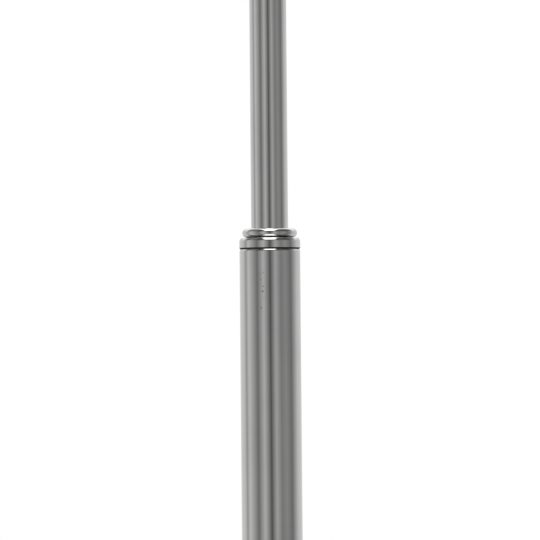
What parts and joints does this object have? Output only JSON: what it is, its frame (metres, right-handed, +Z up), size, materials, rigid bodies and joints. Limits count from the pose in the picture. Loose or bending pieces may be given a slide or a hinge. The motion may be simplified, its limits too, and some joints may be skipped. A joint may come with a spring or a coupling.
{
  "type": "pull-up bar",
  "caption": "Telescopic screw-out doorway pull-up bar: turning the thick chrome tube drives the thin chrome tube out until the rubber end pads grip the door jambs.",
  "frame": {"origin": "centre of the left rubber pad's outer face, on the bar's axis, with the bar set to a 30 inch doorway", "axes": "+X along the bar from the left pad to the right pad, the way the thin tube slides out; +Z up in use; +Y away from a person who faces the doorway"},
  "size_m": [0.762, 0.064, 0.064],
  "materials": {
    "chrome": "polished",
    "zinc_steel": "satin",
    "black_steel": "satin",
    "brass": "satin",
    "white_nylon": "satin",
    "black_rubber": "matte",
    "black_foam": "matte"
  },
  "bodies": {
    "left_pad": {"left_rubber_pad": "black_rubber", "left_pad_flange": "black_steel", "left_pivot_bolt": "zinc_steel", "left_thrust_washer": "white_nylon", "left_pivot_washer": "zinc_steel", "left_pivot_nut": "zinc_steel"},
    "thick_side": {"thick_tube": "chrome", "left_end_plug": "zinc_steel", "left_plug_pin": "zinc_steel", "screw_anchor": "zinc_steel", "screw_anchor_pin": "zinc_steel", "drive_screw": "zinc_steel", "screw_stop_washer": "zinc_steel", "screw_stop_bolt": "zinc_steel", "guide_bush": "white_nylon", "wiper_ring": "black_rubber", "mouth_collar": "chrome", "bead_ring": "chrome", "thick_grip": "black_foam"},
    "thin_side": {"thin_tube": "chrome", "drive_nut": "brass", "nut_pin_upper": "zinc_steel", "nut_pin_lower": "zinc_steel", "guide_ring": "white_nylon", "thin_grip": "black_foam", "right_end_plug": "zinc_steel", "right_plug_pin": "zinc_steel", "right_pad_flange": "black_steel", "right_pad_bolt": "zinc_steel", "right_spring_washer": "zinc_steel", "right_rubber_pad": "black_rubber"}
  },
  "joints": [
    {"name": "tube_turn", "type": "hinge", "parent": "left_pad", "child": "thick_side", "pos_m": [0.0246, 0, 0], "axis": [1, 0, 0], "range_deg": [-10800, 7200]},
    {"name": "extension", "type": "slide", "parent": "left_pad", "child": "thin_side", "axis": [1, 0, 0], "range_m": [-0.1, 0.15]}
  ],
  "couplings": [
    {"joint": "extension", "follows": "tube_turn", "m_per_rad": -0.00079577}
  ]
}
